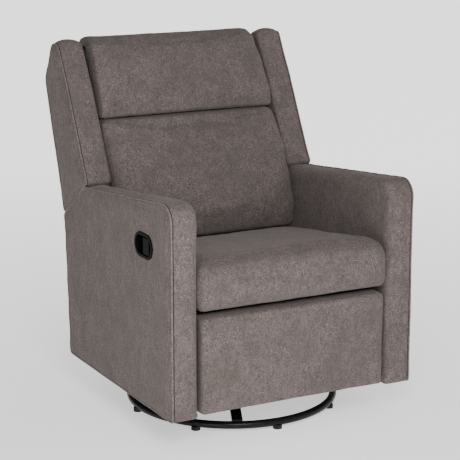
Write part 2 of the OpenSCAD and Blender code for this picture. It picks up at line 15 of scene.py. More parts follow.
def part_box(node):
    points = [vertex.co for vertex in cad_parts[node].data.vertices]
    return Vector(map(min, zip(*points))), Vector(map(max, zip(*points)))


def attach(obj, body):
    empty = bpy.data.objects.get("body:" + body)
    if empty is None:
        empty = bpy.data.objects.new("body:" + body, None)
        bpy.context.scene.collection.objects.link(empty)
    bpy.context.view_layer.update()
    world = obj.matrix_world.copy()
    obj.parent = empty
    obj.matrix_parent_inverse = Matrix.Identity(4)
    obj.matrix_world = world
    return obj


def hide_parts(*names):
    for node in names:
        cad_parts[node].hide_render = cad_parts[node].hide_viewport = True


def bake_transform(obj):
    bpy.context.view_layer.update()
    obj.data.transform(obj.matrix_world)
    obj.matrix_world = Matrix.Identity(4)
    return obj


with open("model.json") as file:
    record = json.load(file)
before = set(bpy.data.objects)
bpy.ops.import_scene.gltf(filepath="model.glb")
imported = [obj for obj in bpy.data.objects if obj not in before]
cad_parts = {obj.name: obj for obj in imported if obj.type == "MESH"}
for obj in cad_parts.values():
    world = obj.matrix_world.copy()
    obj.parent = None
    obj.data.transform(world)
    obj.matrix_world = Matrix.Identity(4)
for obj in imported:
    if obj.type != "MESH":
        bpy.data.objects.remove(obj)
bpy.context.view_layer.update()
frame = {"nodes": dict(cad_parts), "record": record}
NODES = frame["nodes"]

# ---- camera ----

VIEW_AZIMUTH = math.radians(-28.05)
VIEW_ELEVATION = math.radians(13.32)
VIEW_DISTANCE = 4.524
LENS_MM = 123.9
AIM_FROM_TOP_PLATE = 0.130
AIM_HEIGHT = 0.4868
AIM_RIGHT = -0.0044
AIM_UP = 0.0121


def make_camera():
    """The photograph's viewpoint, aimed at the middle of the chair."""
    sa, ca = math.sin(VIEW_AZIMUTH), math.cos(VIEW_AZIMUTH)
    se, ce = math.sin(VIEW_ELEVATION), math.cos(VIEW_ELEVATION)
    back = Vector((sa * ce, -ca * ce, se))
    right = Vector((ca, sa, 0))
    up = back.cross(right)
    aim = Vector((0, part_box("top_plate")[0].y + AIM_FROM_TOP_PLATE, AIM_HEIGHT))
    camera = bpy.data.objects.new("camera", bpy.data.cameras.new("camera"))
    camera.data.lens = LENS_MM
    camera.location = aim + back * VIEW_DISTANCE + right * AIM_RIGHT + up * AIM_UP
    camera.rotation_euler = (-back).to_track_quat("-Z", "Y").to_euler()
    bpy.context.scene.collection.objects.link(camera)
    bpy.context.scene.camera = camera


# ---- materials ----


class Shader:
    """A short way to write a node tree."""

    def __init__(self, name):
        self.material = bpy.data.materials.new(name)
        self.material.use_nodes = True
        self.tree = self.material.node_tree
        self.bsdf = self.tree.nodes["Principled BSDF"]

    def node(self, kind, inputs=None, **settings):
        made = self.tree.nodes.new(kind)
        for key, value in settings.items():
            setattr(made, key, value)
        for key, value in (inputs or {}).items():
            self.put(made.inputs[key], value)
        return made

    def put(self, socket, value):
        if isinstance(value, bpy.types.NodeSocket):
            self.tree.links.new(value, socket)
        else:
            socket.default_value = value

    def set(self, **values):
        for key, value in values.items():
            self.put(self.bsdf.inputs[key.replace("_", " ")], value)

    def place(self, scale=(1, 1, 1)):
        """Object coordinates, scaled by a factor along each axis."""
        where = self.node("ShaderNodeTexCoord").outputs["Object"]
        return self.node("ShaderNodeMapping", {"Vector": where, "Scale": scale}).outputs[0]

    def noise(self, vector, scale, detail=2.0, roughness=0.5, distortion=0.0):
        made = self.node("ShaderNodeTexNoise", {"Vector": vector, "Scale": scale, "Detail": detail})
        made.inputs["Roughness"].default_value = roughness
        made.inputs["Distortion"].default_value = distortion
        return made.outputs["Fac"]

    def spread(self, value, low, high, to_low=0.0, to_high=1.0):
        made = self.node("ShaderNodeMapRange", {"Value": value, "From Min": low, "From Max": high})
        made.inputs["To Min"].default_value = to_low
        made.inputs["To Max"].default_value = to_high
        return made.outputs["Result"]

    def mix(self, factor, a, b):
        """From colour a to colour b."""
        made = self.node("ShaderNodeMix", data_type="RGBA")
        for index, value in ((0, factor), (6, a), (7, b)):
            self.put(made.inputs[index], value)
        return made.outputs[2]

    def math(self, operation, a, b=0.0):
        return self.node("ShaderNodeMath", {0: a, 1: b}, operation=operation).outputs[0]

    def bump(self, height, strength, distance, under=None):
        made = self.node("ShaderNodeBump", {"Height": height, "Strength": strength, "Distance": distance})
        if under is not None:
            self.put(made.inputs["Normal"], under)
        return made.outputs["Normal"]


def rgb(r, g, b):
    return (r, g, b, 1.0)


FABRIC_TINT = (0.84, 0.82, 0.82)
DARK_FIBRE = (0.036, 0.029, 0.029)
FIBRE = (0.160, 0.130, 0.127)
PALE_FIBRE = (0.290, 0.240, 0.236)
OLIVE_FIBRE = (0.090, 0.086, 0.075)
BRUSHED = (0.205, 0.166, 0.164)
SHADED_NAP = (0.082, 0.078, 0.066)


def upholstery_material(name="upholstery", light=1.0):
    """Heathered chenille: pale and dark fibres in a short broken weave, under a soft brushed nap."""
    s = Shader(name)
    plain = s.place()

    # light scales every colour: below 1 it gives a painted-shade copy of the fabric, above 1 a
    # painted-highlight copy
    def shade(colour):
        return rgb(*(value * tint * light for value, tint in zip(colour, FABRIC_TINT)))

    weft = s.noise(s.place((0.40, 0.40, 1.30)), 460.0, 3.0, 0.6)
    warp = s.noise(s.place((1.4, 1.4, 0.30)), 380.0, 3.0, 0.6)
    fibres = s.math("MULTIPLY", s.math("ADD", weft, warp), 0.5)
    speckle = s.noise(plain, 330.0, 2.0, 0.6)
    hue = s.noise(plain, 110.0, 4.0, 0.7)
    nap = s.noise(s.place((1.5, 1.5, 0.55)), 60.0, 6.0, 0.72, 0.2)
    cloud = s.noise(s.place((0.8, 0.8, 0.7)), 17.0, 8.0, 0.74, 0.3)
    base = s.mix(s.spread(fibres, 0.38, 0.60), shade(DARK_FIBRE), shade(FIBRE))
    base = s.mix(s.spread(speckle, 0.47, 0.64, 0.0, 0.85), base, shade(PALE_FIBRE))
    base = s.mix(s.spread(hue, 0.42, 0.60, 0.0, 0.60), base, shade(OLIVE_FIBRE))
    worn = s.mix(s.spread(nap, 0.42, 0.64, 0.0, 0.50), base, shade(BRUSHED))
    final = s.mix(s.spread(cloud, 0.42, 0.60, 0.0, 0.40), worn, shade(SHADED_NAP))
    s.set(Base_Color=final, Roughness=0.93, Sheen_Weight=0.13 * min(light, 1.0), Sheen_Roughness=0.42)
    s.set(Sheen_Tint=rgb(0.80, 0.73, 0.71), Specular_IOR_Level=0.10)
    fine = s.bump(speckle, 0.60, 0.0020)
    s.set(Normal=s.bump(nap, 0.12, 0.0040, fine))
    return s.material


def black_steel_material():
    """Gloss black powder coat with a faint orange peel and dust."""
    s = Shader("black_steel")
    plain = s.place()
    dust = s.noise(plain, 60.0, 5.0, 0.7)
    peel = s.noise(plain, 900.0, 1.0)
    dusty = s.spread(dust, 0.52, 0.80, 0.0, 0.35)
    s.set(Base_Color=s.mix(dusty, rgb(0.006, 0.006, 0.007), rgb(0.030, 0.030, 0.031)))
    s.set(Roughness=s.spread(dust, 0.3, 0.8, 0.22, 0.42), Specular_IOR_Level=0.14)
    s.set(Normal=s.bump(peel, 0.10, 0.0004))
    return s.material


def gloss_plastic_material():
    """The handle's polished black plastic, with faint smudges."""
    s = Shader("gloss_black")
    grain = s.noise(s.place(), 420.0, 2.0)
    smudge = s.noise(s.place(), 45.0, 4.0, 0.6)
    s.set(Base_Color=s.mix(smudge, rgb(0.002, 0.002, 0.002), rgb(0.006, 0.006, 0.006)))
    s.set(Roughness=s.spread(smudge, 0.35, 0.75, 0.16, 0.30), Normal=s.bump(grain, 0.04, 0.0003))
    s.set(Specular_IOR_Level=0.012)
    return s.material


def matt_plastic_material(name, low, high, roughness=0.42):
    """Moulded plastic or rubber with a fine spark-eroded grain."""
    s = Shader(name)
    grain = s.noise(s.place(), 700.0, 3.0)
    scuff = s.noise(s.place((1, 1, 0.4)), 90.0, 5.0, 0.7)
    s.set(Base_Color=s.mix(s.spread(scuff, 0.4, 0.75), low, high))
    s.set(Roughness=s.spread(scuff, 0.3, 0.8, roughness - 0.08, roughness + 0.15), Specular_IOR_Level=0.10)
    s.set(Normal=s.bump(grain, 0.25, 0.0006))
    return s.material


def zinc_material():
    """Bright zinc plate with its brushed drawing lines and dull patches."""
    s = Shader("zinc_steel")
    lines = s.noise(s.place((1.0, 0.05, 1.0)), 500.0, 3.0)
    patch = s.noise(s.place(), 30.0, 4.0, 0.6)
    s.set(Base_Color=s.mix(patch, rgb(0.46, 0.47, 0.49), rgb(0.64, 0.65, 0.66)), Metallic=1.0)
    s.set(Roughness=s.spread(patch, 0.3, 0.75, 0.24, 0.46), Normal=s.bump(lines, 0.12, 0.0004))
    return s.material


def wood_material():
    """Raw plywood and softwood: long grain with darker late wood."""
    s = Shader("frame_wood")
    grain = s.noise(s.place((1.0, 0.06, 0.9)), 130.0, 5.0, 0.6, 1.2)
    pores = s.noise(s.place((1.0, 0.03, 1.0)), 900.0, 2.0)
    base = s.mix(s.spread(grain, 0.30, 0.72), rgb(0.36, 0.22, 0.11), rgb(0.62, 0.45, 0.26))
    s.set(Base_Color=s.mix(s.spread(pores, 0.52, 0.7, 0.0, 0.35), base, rgb(0.22, 0.13, 0.07)))
    s.set(Roughness=0.72, Normal=s.bump(grain, 0.2, 0.001))
    return s.material


def webbing_material():
    """Black elastic webbing: ribs along and across, worked out from sine waves."""
    s = Shader("webbing")
    where = s.place()
    ribs = s.node("ShaderNodeTexWave", {"Vector": where, "Scale": 320.0, "Distortion": 0.6}).outputs["Fac"]
    fluff = s.noise(where, 800.0, 2.0)
    s.set(Base_Color=s.mix(ribs, rgb(0.012, 0.012, 0.012), rgb(0.06, 0.058, 0.055)))
    s.set(Roughness=0.9, Sheen_Weight=0.2, Normal=s.bump(s.math("ADD", ribs, fluff), 0.3, 0.0008))
    return s.material


FABRIC = upholstery_material()
# painted highlight: the welt cords are the upholstery lightened by 1.25
PAINTED_HIGHLIGHT_PIPING = upholstery_material("piping_painted_highlight", light=1.25)
# painted shade: the upholstery darkened to 0.55, for cloth seen in creases and corners
SHADED = upholstery_material("upholstery_painted_shade", light=0.55)
# painted shade: the upholstery darkened to 0.35, for the dark cords laid beside the welts
PAINTED_CREASE_SHADE = upholstery_material("seam_crease", light=0.35)
# painted shade: the upholstery darkened to 0.16, for the lining seen in the gap below the seat
PAINTED_SHADE_LINING = upholstery_material("lining_painted_shade", light=0.16)
CAD_FINISH = {
    "upholstery": FABRIC,
    "black_steel": black_steel_material(),
    "zinc_steel": zinc_material(),
    "frame_wood": wood_material(),
    "black_plastic": matt_plastic_material(
        "black_plastic", rgb(0.01, 0.01, 0.011), rgb(0.035, 0.035, 0.036)),
    "gloss_black": gloss_plastic_material(),
    "nylon": matt_plastic_material("nylon", rgb(0.62, 0.60, 0.53), rgb(0.80, 0.78, 0.72), 0.45),
    "rubber": matt_plastic_material("rubber", rgb(0.012, 0.012, 0.012), rgb(0.04, 0.04, 0.04), 0.75),
    "webbing": webbing_material(),
}


def finish_cad_nodes():
    """Gives each CAD node the material of its slot."""
    for part in frame["record"]["subparts"]:
        node = NODES[part["node"]]
        node.data.materials.clear()
        node.data.materials.append(CAD_FINISH[part["material_slot"]])


# ---- outlines taken from the CAD ----

STEP = 0.004
FINE_STEP = 0.003
FACING = 0.3


def section(node, x):
    """The widest loop where the plane at x cuts a CAD node: (y, z) points, anticlockwise from the lowest."""
    bm = bmesh.new()
    bm.from_mesh(NODES[node].data)
    bmesh.ops.remove_doubles(bm, verts=bm.verts, dist=1e-6)
    geometry = bm.verts[:] + bm.edges[:] + bm.faces[:]
    cut = bmesh.ops.bisect_plane(bm, geom=geometry, plane_co=(x, 0, 0), plane_no=(1, 0, 0), dist=1e-7)
    edges = dict.fromkeys(e for e in cut["geom_cut"] if isinstance(e, bmesh.types.BMEdge))
    loops = []
    while edges:
        edge = next(iter(edges))
        del edges[edge]
        loop, here = [edge.verts[0]], edge.verts[1]
        while here is not loop[0]:
            loop.append(here)
            step = next((e for e in here.link_edges if e in edges), None)
            if step is None:
                break
            del edges[step]
            here = step.other_vert(here)
        loops.append(np.array([[v.co.y, v.co.z] for v in loop]))
    bm.free()
    best = max(loops, key=lambda p: abs(area(p)))
    best = best if area(best) > 0 else best[::-1]
    lowest = np.lexsort((best[:, 0], best[:, 1]))[0]
    return np.roll(best, -lowest, 0)


def area(p):
    """A closed line's area, negative where it runs clockwise."""
    q = np.roll(p, -1, 0)
    return 0.5 * float(np.sum(p[:, 0] * q[:, 1] - q[:, 0] * p[:, 1]))


def resample(p, step):
    """The closed line p with points evenly spaced, about step apart."""
    closed = np.vstack([p, p[:1]])
    run = np.concatenate([[0], np.cumsum(np.linalg.norm(np.diff(closed, axis=0), axis=1))])
    count = max(24, int(round(run[-1] / step)))
    at = np.arange(count) * run[-1] / count
    return np.column_stack([np.interp(at, run, closed[:, i]) for i in (0, 1)])


def relax(p, radius, step):
    """Rounds the corners of an evenly spaced closed line, to about that radius."""
    sigma = 0.55 * radius / step
    reach = int(3 * sigma) + 1
    weights = np.exp(-0.5 * (np.arange(-reach, reach + 1) / sigma) ** 2)
    weights /= weights.sum()
    return sum(w * np.roll(p, -k, 0) for k, w in zip(range(-reach, reach + 1), weights))


def inward(p):
    """The inward normals of a closed anticlockwise line."""
    t = np.roll(p, -1, 0) - np.roll(p, 1, 0)
    t /= np.linalg.norm(t, axis=1)[:, None]
    return np.column_stack([-t[:, 1], t[:, 0]])


def fade(value, low, high):
    """0 up to low, 1 from high, with a smooth turn between."""
    t = np.clip((value - low) / (high - low), 0, 1)
    return t * t * (3 - 2 * t)


def profile(node, x, corner, grow=0.0):
    """A CAD node's side view at x, its corners relaxed, moved outward by grow."""
    outline = relax(resample(section(node, x), STEP), corner, STEP)
    return outline - inward(outline) * grow


def front_line(node, x, step):
    """The front face of a CAD node at x, from its bottom to its top: the heights, then the y values."""
    outline = resample(section(node, x), step)
    front = outline[inward(outline)[:, 0] > FACING]
    front = front[np.argsort(front[:, 1])]
    return front[:, 1], front[:, 0]


def above(p, level):
    """The part of a closed line that lies above a level, closed again along it."""
    kept = []
    for a, b in zip(p, np.roll(p, -1, 0)):
        if a[1] >= level:
            kept.append(a)
        if (a[1] - level) * (b[1] - level) < 0:
            kept.append(a + (b - a) * (level - a[1]) / (b[1] - a[1]))
    return np.array(kept)


def side_of_box(low, high):
    """A box's four corners seen from the side."""
    return np.array([(low.y, low.z), (high.y, low.z), (high.y, high.z), (low.y, high.z)])


# ---- mesh helpers ----


def add_object(name, mesh, material):
    made = bpy.data.objects.new(name, mesh)
    bpy.context.scene.collection.objects.link(made)
    mesh.materials.clear()
    mesh.materials.append(material)
    return made


def coords(obj):
    co = np.empty(len(obj.data.vertices) * 3, np.float32)
    obj.data.vertices.foreach_get("co", co)
    return co.reshape(-1, 3).astype(float)


def set_coords(obj, co):
    obj.data.vertices.foreach_set("co", np.asarray(co, np.float32).ravel())
    obj.data.update()


def normals(obj):
    n = np.empty(len(obj.data.vertices) * 3, np.float32)
    obj.data.vertex_normals.foreach_get("vector", n)
    return n.reshape(-1, 3).astype(float)


def apply_modifiers(obj):
    bpy.context.view_layer.objects.active = obj
    for m in list(obj.modifiers):
        bpy.ops.object.modifier_apply(modifier=m.name)


def smooth_shade(obj):
    obj.data.polygons.foreach_set("use_smooth", np.ones(len(obj.data.polygons), bool))
    obj.data.update()


def loft(name, outline, ends, radii, material, steps=7):
    """A side-view outline spread between two x values, each point's two ends rounded by its own radius."""
    n = inward(outline)
    radii = np.broadcast_to(radii, (2, len(outline)))
    turns = [math.pi / 2 * k / steps for k in range(steps + 1)]
    rings = []
    for x0, r, way, order in ((ends[0], radii[0], 1, turns[::-1]), (ends[1], radii[1], -1, turns)):
        for turn in order:
            flat = outline + n * (r * (1 - math.cos(turn)))[:, None]
            rings.append(np.column_stack([x0 + way * r * (1 - math.sin(turn)), flat]))
    count = len(outline)
    faces = []
    for start in range(0, (len(rings) - 1) * count, count):
        for k in range(count):
            after = (k + 1) % count
            faces.append((start + k, start + after, start + count + after, start + count + k))
    faces += [tuple(range(count))[::-1], tuple(range((len(rings) - 1) * count, len(rings) * count))]
    mesh = bpy.data.meshes.new(name)
    mesh.from_pydata(np.vstack(rings).tolist(), [], faces)
    bm = bmesh.new()
    bm.from_mesh(mesh)
    bmesh.ops.recalc_face_normals(bm, faces=bm.faces)
    bm.to_mesh(mesh)
    bm.free()
    return add_object(name, mesh, material)


def end_radius(outline, big, small, facing):
    """The big radius where the outward normal's share along facing is positive, the small one elsewhere."""
    share = -inward(outline) @ (np.array(facing) / np.linalg.norm(facing))
    radii = small + (big - small) * fade(share, -0.35, 0.35)
    return relax(np.column_stack([radii, radii]), 0.020, STEP)[:, 0]


VOXEL = 0.006
FINE_VOXEL = 0.005
THIN_VOXEL = 0.004
EDGE_VOXEL = 0.003


def remesh(obj, voxel):
    """Turns a closed mesh into an even grid of small faces."""
    m = obj.modifiers.new("remesh", "REMESH")
    m.mode, m.voxel_size, m.adaptivity, m.use_smooth_shade = "VOXEL", voxel, 0.0, True
    apply_modifiers(obj)


PRESSURE = 4.0
TENSION = 15.0
SLACK = -0.02
FRAMES = 20
RETURNED = 0.9


def inflate(obj, pinned, cap):
    """Swells a closed mesh as a stuffed cover. Points where pinned is 1 stay, none moves beyond cap."""
    group = obj.vertex_groups.new(name="pin")
    for weight in sorted(set(np.round(pinned, 1)) - {0.0}):
        group.add(np.flatnonzero(np.round(pinned, 1) == weight).tolist(), float(weight), "REPLACE")
    before, out = coords(obj), normals(obj)
    cloth = obj.modifiers.new("cloth", "CLOTH")
    s = cloth.settings
    s.quality, s.mass, s.air_damping = 5, 0.3, 1.0
    s.tension_stiffness = s.compression_stiffness = TENSION
    s.shear_stiffness, s.bending_stiffness = 8.0, 0.6
    s.use_pressure, s.uniform_pressure_force = True, PRESSURE
    s.vertex_group_mass = "pin"
    s.effector_weights.gravity = 0.0
    s.shrink_min = SLACK
    cloth.collision_settings.use_collision = False
    scene = bpy.context.scene
    scene.frame_start, scene.frame_end = 1, FRAMES
    cloth.point_cache.frame_start, cloth.point_cache.frame_end = 1, FRAMES
    for f in range(1, FRAMES + 1):
        scene.frame_set(f)
    apply_modifiers(obj)
    scene.frame_set(1)
    moved = coords(obj) - before
    sunk = np.minimum(np.sum(moved * out, axis=1), 0.0)
    moved -= out * (RETURNED * sunk)[:, None]
    far = np.linalg.norm(moved, axis=1)[:, None] + 1e-9
    set_coords(obj, before + moved * (cap * np.tanh(far / cap) / far))
    obj.vertex_groups.clear()


def wrinkle(obj, amount, scale, seed, where=None):
    """Small soft unevenness along the surface, from fixed noise."""
    co, n = coords(obj), normals(obj)
    shift = Vector((seed * 3.17, seed * 1.31, seed * 0.77))
    value = np.array([noise.noise(Vector(c) * scale + shift) for c in co])
    if where is not None:
        value = value * where
    set_coords(obj, co + n * (amount * value)[:, None])


def subdivide(obj):
    m = obj.modifiers.new("subdivision", "SUBSURF")
    m.levels = m.render_levels = 1
    apply_modifiers(obj)
    smooth_shade(obj)


TUBE_SIDES = 8


def tube(name, points, radius, material):
    """A round cord of fabric along a closed line of points."""
    bm = bmesh.new()
    rings = []
    for i, p in enumerate(points):
        t = Vector(points[(i + 1) % len(points)] - points[i - 1]).normalized()
        a = t.orthogonal().normalized() if not rings else (side - t * side.dot(t)).normalized()
        side = a
        b = t.cross(a)
        turn = [2 * math.pi * k / TUBE_SIDES for k in range(TUBE_SIDES)]
        rings.append([bm.verts.new(Vector(p) + (a * math.cos(w) + b * math.sin(w)) * radius) for w in turn])
    for one, two in zip(rings, rings[1:] + rings[:1]):
        for k in range(TUBE_SIDES):
            after = (k + 1) % TUBE_SIDES
            bm.faces.new((one[k], one[after], two[after], two[k]))
    bmesh.ops.recalc_face_normals(bm, faces=bm.faces)
    mesh = bpy.data.meshes.new(name)
    bm.to_mesh(mesh)
    bm.free()
    obj = add_object(name, mesh, material)
    smooth_shade(obj)
    return obj


def seam(name, line, obj, body, radius, lift, material):
    """A cord on a finished piece, along the points nearest to a line, lifted by a share of its radius."""
    tree = BVHTree.FromObject(obj, bpy.context.evaluated_depsgraph_get())
    laid = []
    for point in line:
        place, normal, _, _ = tree.find_nearest(Vector(point))
        laid.append(place + normal * radius * lift)
    laid = np.array([list(p) for p in laid])
    for _ in range(3):
        laid = 0.5 * laid + 0.25 * (np.roll(laid, 1, 0) + np.roll(laid, -1, 0))
    settle(tube(name, laid, radius, material), body)


def mirrored(obj, name):
    """A copy on the other side of the chair."""
    mesh = obj.data.copy()
    made = add_object(name, mesh, obj.data.materials[0])
    co = coords(made)
    co[:, 0] *= -1
    set_coords(made, co)
    mesh.flip_normals()
    smooth_shade(made)
    return made


def settle(obj, body, replaces=()):
    """Puts a fabric piece on its body, in place of the CAD nodes that it stands for."""
    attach(obj, body)
    if replaces:
        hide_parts(*replaces)


# ---- cushions ----


NOSE_RADIUS = 0.046
NOSE_DROOP = 0.008


def make_seat():
    """The seat cushion, its front rolled over from the top and tucked in again below."""
    low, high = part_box("seat_cushion")
    outline = profile("seat_cushion", 0.0, 0.014, -0.001)
    nose = fade(-outline[:, 0], 0.34, 0.40)[:, None]
    outline = outline * (1 - nose) + relax(outline, NOSE_RADIUS, STEP) * nose
    outline[:, 0] += (low.y + 0.001 - outline[:, 0].min()) * fade(-outline[:, 0], 0.34, 0.40)
    outline = relax(outline, 0.010, STEP)
    radii = end_radius(outline, 0.036, 0.020, (-0.6, 1.0))
    obj = loft("seat_cushion_cover", outline, (low.x + 0.001, high.x - 0.001), radii, FABRIC)
    remesh(obj, VOXEL)
    co = coords(obj)
    under = (co[:, 2] < low.z + 0.010) & (co[:, 1] > low.y + 0.06)
    inflate(obj, 1.0 * (under | (co[:, 1] > high.y - 0.012)), cap=0.012)
    co = coords(obj)
    co[:, 2] -= NOSE_DROOP * fade(-co[:, 1], 0.330, 0.385) * fade(-co[:, 2], -0.455, -0.405)
    set_coords(obj, co)
    wrinkle(obj, 0.0012, 16.0, 1)
    subdivide(obj)
    settle(obj, "seat", replaces=["seat_cushion"])


WRAP_STEP = 0.0008


def make_rail_wrap():
    """The fabric stapled over the seat frame's front rail, seen in the gap below the cushion, darkened as
    painted shade for the gap.
    """
    low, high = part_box("seat_frame")
    front, back, bottom = low.y - 0.0028, low.y - 0.0002, low.z + 0.002
    corners = np.array([(front, bottom), (back, bottom), (back, high.z), (front, high.z)])
    outline = relax(resample(corners, WRAP_STEP), WRAP_STEP, WRAP_STEP)
    obj = loft("seat_rail_wrap", outline, (low.x + 0.002, high.x - 0.002), WRAP_STEP, PAINTED_SHADE_LINING, 3)
    smooth_shade(obj)
    settle(obj, "seat")


WING_SECTION_X = 0.36


class Wing:
    """Where the CAD wing's inner face and front edge are."""

    def __init__(self):
        co = np.array([v.co for v in NODES["left_wing"].data.vertices])
        inner = co[co[:, 0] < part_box("left_wing")[1].x - 0.06]
        order = np.argsort(inner[:, 2])
        self.z, self.x = inner[order, 2], inner[order, 0]
        self.front_z, self.front_y = front_line("left_wing", WING_SECTION_X, STEP)

    def inner_x(self, z):
        return np.interp(z, self.z, self.x)

    def proud(self, co):
        """How far points stand in front of the wings' front faces."""
        return np.interp(co[:, 2], self.front_z, self.front_y) - co[:, 1]


def make_back_cushions(wing):
    """The lumbar and headrest cushions: full at the front, drawn in at the sides and at the lap."""
    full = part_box("lumbar_cushion")[1].x
    for name, node, corner, big, cap, wide in (
        ("lumbar_cushion_cover", "lumbar_cushion", 0.009, 0.027, 0.012, 0.009),
        ("headrest_cushion_cover", "headrest_cushion", 0.008, 0.024, 0.010, 0.008),
    ):
        outline = profile(node, 0.0, corner, 0.001)
        radii = end_radius(outline, big, 0.004, (-1.0, 0.30))
        radii = radii - np.clip(radii - 0.013, 0, 1) * fade(outline[:, 1], 0.975, 1.010)
        radii = radii * (1 + 0.6 * fade(-outline[:, 1], -0.780, -0.700))
        obj = loft(name, outline, (-full, full), radii, FABRIC)
        co = coords(obj)
        half = np.minimum(full, wing.inner_x(co[:, 2]) - 0.0005)
        half += wide * fade(wing.proud(co), 0.000, 0.014) * fade(co[:, 2], 0.655, 0.690)
        half -= 0.003 * fade(wing.proud(co), -0.050, -0.030) * fade(-co[:, 2], -0.660, -0.640)
        co[:, 0] *= half / full
        tuck = np.clip((0.535 - co[:, 2]) / 0.080, 0, 1) ** 2
        co[:, 1] += 0.022 * tuck * fade(-co[:, 1], -0.125, -0.085)
        set_coords(obj, co)
        remesh(obj, VOXEL)
        out = normals(obj)
        inflate(obj, 1.0 * ((out[:, 1] > 0.5) | (np.abs(out[:, 0]) > 0.9)), cap=cap)
        wrinkle(obj, 0.0012, 14.0, 2)
        subdivide(obj)
        settle(obj, "back", replaces=[node])


def make_footrest():
    """The footrest's flat pad, its top corners rounded in the front view."""
    low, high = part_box("footrest_pad")
    high.z -= 0.005
    depth = high.y - low.y
    outline = relax(resample(side_of_box(low, high), STEP), 0.007, STEP)
    radii = end_radius(outline, 0.012, 0.005, (-1.0, 0.0))
    obj = loft("footrest_cover", outline, (low.x + 0.001, high.x - 0.001), radii, FABRIC)
    co = coords(obj)
    corner = 0.016
    over = np.clip(co[:, 2] - (high.z - corner), 0, corner)
    trim = corner - np.sqrt(corner * corner - over * over)
    co[:, 0] -= np.sign(co[:, 0]) * trim * fade(np.abs(co[:, 0]), high.x - 0.05, high.x - 0.012)
    set_coords(obj, co)
    remesh(obj, FINE_VOXEL)
    co = coords(obj)
    inflate(obj, 1.0 * (co[:, 1] > low.y + 0.6 * depth), cap=0.005)
    wrinkle(obj, 0.0008, 13.0, 3)
    subdivide(obj)
    settle(obj, "footrest", replaces=["footrest_pad"])


# ---- arms, wings and the outside of the back ----


def tuck_round_handle(obj):
    """Draws the outer face of the right arm under the handle cup's rim and in behind the cup."""
    low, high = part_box("handle_cup")
    y, z = (low.y + high.y) / 2, (low.z + high.z) / 2
    half = (high.y - low.y - high.z + low.z) / 2
    co = coords(obj)
    along = np.clip(co[:, 1], y - half, y + half)
    away = np.hypot(co[:, 1] - along, co[:, 2] - z)
    outer = co[:, 0] < -0.36
    limit = low.x + 0.0028 - 0.0040 * fade(away, 0.036, 0.080)
    x = np.maximum(co[:, 0], limit) + 0.037 * fade(-away, -0.0335, -0.0285)
    co[:, 0] = np.where(outer, x, co[:, 0])
    set_coords(obj, co)


WELT_RADIUS = 0.0027
SHADE_CORD_RADIUS = 0.0013
SHADE_CORD_INSET = 0.0052


def both_covers(obj, names, nodes, line, body, seams):
    """Settles a left-hand cover and its mirror image, each with a welt on its outer edge and, just inside
    it, a dark cord of painted shade.
    """
    other = mirrored(obj, names[1])
    if body == "chair":
        tuck_round_handle(other)
    for piece, node, welt, side in ((obj, nodes[0], seams[0], 1), (other, nodes[1], seams[1], -1)):
        settle(piece, body, replaces=[node])
        # the welt cord is real geometry; its lightened colour is painted highlight
        seam(welt, line * (side, 1, 1), piece, body, WELT_RADIUS, 0.5, PAINTED_HIGHLIGHT_PIPING)
        # painted shade: a dark cord laid just inside the welt, where the crease beside it is shaded
        shade_cord_line = (line - (SHADE_CORD_INSET, 0, 0)) * (side, 1, 1)
        seam(welt + "_crease", shade_cord_line, piece, body, SHADE_CORD_RADIUS, 0.0, PAINTED_CREASE_SHADE)


def edge_line(outline, x):
    """A side-view outline as points in space, all at x."""
    return np.column_stack([np.full(len(outline), x), outline])


def make_arms():
    """The two arms' covers, rounded over the inner top and front edges."""
    low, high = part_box("left_arm_cover")
    outline = profile("left_arm_cover", high.x - 0.001, 0.004)
    radii = (end_radius(outline, 0.024, 0.002, (-1.0, 1.0)), np.full(len(outline), 0.002))
    obj = loft("left_arm", outline, (low.x + 0.0006, high.x), radii, FABRIC)
    remesh(obj, FINE_VOXEL)
    co = coords(obj)
    hidden = (co[:, 2] < low.z + 0.01) | (co[:, 0] < low.x + 0.003)
    inflate(obj, 1.0 * hidden, cap=0.003)
    wrinkle(obj, 0.0008, 9.0, 4, where=1.0 * (coords(obj)[:, 0] > low.x + 0.004))
    subdivide(obj)
    both_covers(obj, ("left_arm", "right_arm"), ("left_arm_cover", "right_arm_cover"),
                edge_line(outline, high.x), "chair", ("left_arm_seam", "right_arm_seam"))


ARM_INNER_FACE = 0.2885
WING_CROWN = 0.010


def make_wings(wing):
    """The two wings' covers, their inner faces leaning in towards the top, their tops crowned."""
    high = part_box("left_wing")[1]
    start = 0.30
    outline = profile("left_wing", WING_SECTION_X, 0.005)
    share = (fade(outline[:, 0], 0.34, 0.38) * fade(outline[:, 1], 0.74, 0.80))[:, None]
    outline = outline * (1 - share) + relax(outline, 0.026, STEP) * share
    radii = (end_radius(outline, 0.008, 0.003, (-1.0, 0.4)), end_radius(outline, 0.014, 0.002, (-0.2, 1.0)))
    obj = loft("left_wing_cover", outline, (start, high.x), radii, FABRIC)
    co = coords(obj)
    inner = np.maximum(wing.inner_x(co[:, 2]) + 0.0003, ARM_INNER_FACE)
    share = (co[:, 0] - start) / (high.x - start)
    co[:, 0] = inner + share * (high.x - inner)
    set_coords(obj, co)
    remesh(obj, FINE_VOXEL)
    co = coords(obj)
    inner = np.maximum(wing.inner_x(co[:, 2]), ARM_INNER_FACE)
    share = np.clip((co[:, 0] - inner) / (high.x - inner), 0, 1)
    co[:, 2] += WING_CROWN * np.sin(math.pi * share) * fade(co[:, 2], 0.95, 1.0)
    set_coords(obj, co)
    inflate(obj, 1.0 * (co[:, 0] < inner + 0.004), cap=0.005)
    wrinkle(obj, 0.0008, 9.0, 5, where=1.0 * (coords(obj)[:, 0] > inner + 0.004))
    subdivide(obj)
    both_covers(obj, ("left_wing_cover", "right_wing_cover"), ("left_wing", "right_wing"),
                edge_line(outline, high.x), "back", ("left_wing_seam", "right_wing_seam"))


